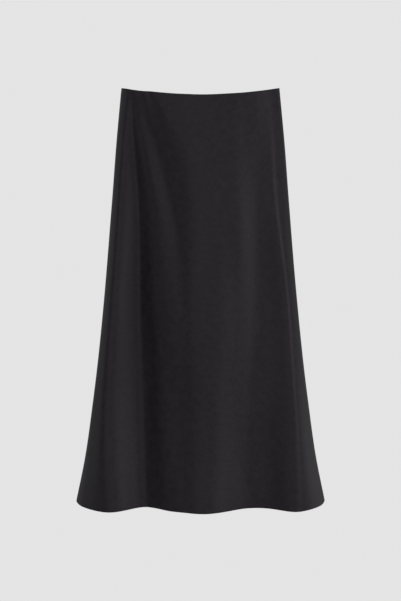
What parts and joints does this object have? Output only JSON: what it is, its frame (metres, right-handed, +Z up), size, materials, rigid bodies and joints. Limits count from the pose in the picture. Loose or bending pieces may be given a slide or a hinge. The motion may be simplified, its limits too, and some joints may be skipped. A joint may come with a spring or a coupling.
{
  "type": "satin maxi skirt",
  "caption": "Plain bias-cut satin maxi skirt, filled out and hollow, flaring to a fluted hem, with a concealed centre-back zip whose pull tab swings.",
  "frame": {"origin": "centre of the waist ring where the wearer's waist holds it, at the height of the waist edge at the side seams", "axes": "+Z up, +X to the viewer's right of the front, -Y out of the front"},
  "size_m": [0.4984, 0.3187, 0.833],
  "materials": {
    "satin": "black satin with a soft broad sheen",
    "zip_tape": "black woven tape",
    "zip_coil": "black nylon coil",
    "zip_metal": "black enamel"
  },
  "bodies": {
    "skirt": {"front_panel": "satin", "back_left_panel": "satin", "back_right_panel": "satin", "zip_tape_left": "zip_tape", "zip_tape_right": "zip_tape", "zip_coil": "zip_coil", "zip_slider": "zip_metal"},
    "pull": {"zip_pull": "zip_metal"}
  },
  "joints": [
    {"name": "zip_pull_hinge", "type": "hinge", "parent": "skirt", "child": "pull", "pos_m": [0, 0.09811, -0.01625], "axis": [1, 0, 0], "range_deg": [0, 150]}
  ]
}
